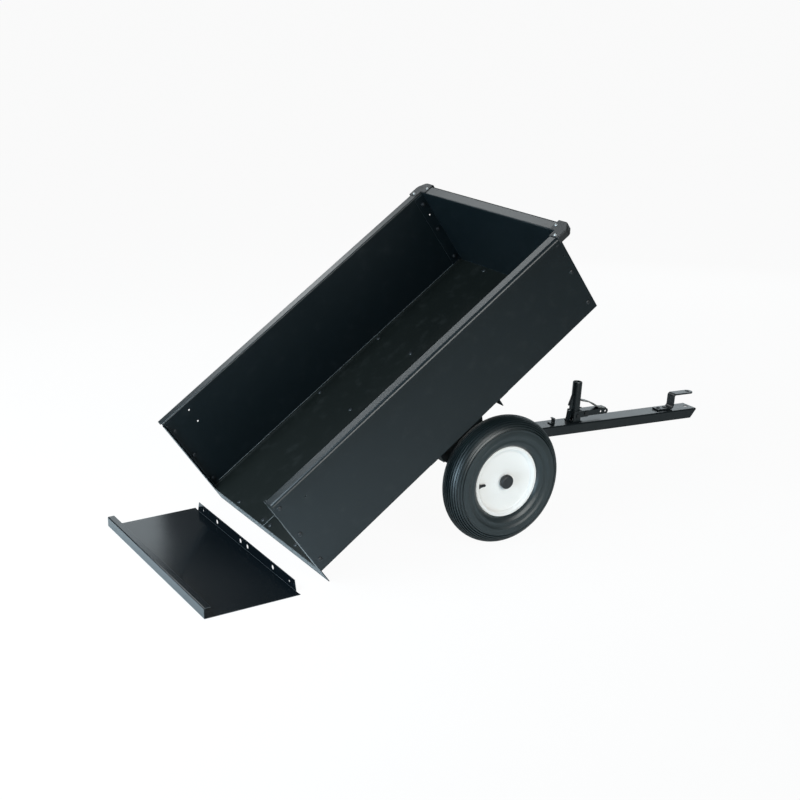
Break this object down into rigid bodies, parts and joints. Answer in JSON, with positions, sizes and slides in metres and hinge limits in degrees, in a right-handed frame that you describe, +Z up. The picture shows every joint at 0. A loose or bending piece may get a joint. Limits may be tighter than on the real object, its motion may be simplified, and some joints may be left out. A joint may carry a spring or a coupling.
{
  "type": "tipping dump cart",
  "caption": "Sheet steel tow-behind cart whose bed pivots on its axle to tip, with a channel tongue, spring latch, pneumatic wheels and a lift-out tailgate lying behind it.",
  "frame": {"origin": "middle of the box at ground level, with the bed tipped and the tailgate on the ground", "axes": "+X to the hitch end of the tongue, +Y to the cart's left side, +Z up"},
  "size_m": [2.1886, 0.869, 1.0081],
  "materials": {
    "black_enamel": "semi-gloss black enamel on pressed sheet steel",
    "black_bolt": "black oxide bolt heads",
    "zinc_steel": "dull zinc plate",
    "spring_steel": "bare spring steel",
    "tyre_rubber": "black rubber",
    "rim_enamel": "off-white enamel",
    "black_plastic": "moulded black plastic",
    "bush_nylon": "natural nylon"
  },
  "bodies": {
    "bed": {"floor_left": "black_enamel", "floor_right": "black_enamel", "side_panel_left": "black_enamel", "side_panel_right": "black_enamel", "front_panel": "black_enamel", "corner_cap_left": "black_plastic", "corner_cap_right": "black_plastic", "tailgate_guide_left": "black_enamel", "tailgate_guide_right": "black_enamel", "cross_brace_front": "black_enamel", "cross_brace_rear": "black_enamel", "rear_sill": "black_enamel", "front_stand": "black_enamel", "strike_pin": "zinc_steel", "axle_support_left": "black_enamel", "axle_support_right": "black_enamel", "axle": "zinc_steel", "tip_stop_rod": "zinc_steel", "tongue_spacers": "zinc_steel", "wheel_spacers": "zinc_steel", "axle_washers": "zinc_steel", "cotter_pins": "zinc_steel", "axle_cap_left": "black_plastic", "axle_cap_right": "black_plastic", "floor_bolts": "black_bolt", "floor_nuts": "zinc_steel", "side_bolts": "black_bolt", "side_nuts": "zinc_steel", "cap_screws": "black_bolt"},
    "tongue": {"tongue": "black_enamel", "hitch_strap": "black_enamel", "strap_bolts": "black_bolt", "strap_nuts": "zinc_steel", "rest_tab": "black_enamel", "latch_stand": "black_enamel", "stand_bolts": "black_bolt", "stand_nuts": "zinc_steel", "latch_pivot_bolt": "black_bolt", "spring_bar": "black_enamel", "bar_bolt": "black_bolt", "leaf_spring": "spring_steel", "spring_rivets": "zinc_steel"},
    "latch": {"latch_handle": "black_enamel", "latch_hook": "black_enamel"},
    "wheel_left": {"tyre_left": "tyre_rubber", "rim_left": "rim_enamel", "wheel_bushes_left": "bush_nylon", "valve_stem_left": "black_plastic", "valve_cap_left": "black_plastic"},
    "wheel_right": {"tyre_right": "tyre_rubber", "rim_right": "rim_enamel", "wheel_bushes_right": "bush_nylon", "valve_stem_right": "black_plastic", "valve_cap_right": "black_plastic"},
    "tailgate": {"tailgate": "black_enamel"}
  },
  "joints": [
    {"name": "tongue_pivot", "type": "hinge", "parent": "bed", "child": "tongue", "pos_m": [-0.05794, 0, 0.2083], "axis": [0, -1, 0], "range_deg": [0, 38.19]},
    {"name": "wheel_left_spin", "type": "hinge", "parent": "bed", "child": "wheel_left", "pos_m": [-0.05794, 0, 0.2083], "axis": [0, 1, 0], "continuous": true},
    {"name": "wheel_right_spin", "type": "hinge", "parent": "bed", "child": "wheel_right", "pos_m": [-0.05794, 0, 0.2083], "axis": [0, 1, 0], "continuous": true},
    {"name": "latch_release", "type": "hinge", "parent": "tongue", "child": "latch", "pos_m": [0.53715, 0, 0.20589], "axis": [0, 1, 0], "range_deg": [0, 15], "stiffness_Nm_per_rad": 4, "springref_deg": -14.32, "deforming": ["leaf_spring"]},
    {"name": "tailgate_lift_off", "type": "slide", "parent": "bed", "child": "tailgate", "axis": [-0.7071, 0, 0.7071], "range_m": [0, 0.5]}
  ]
}
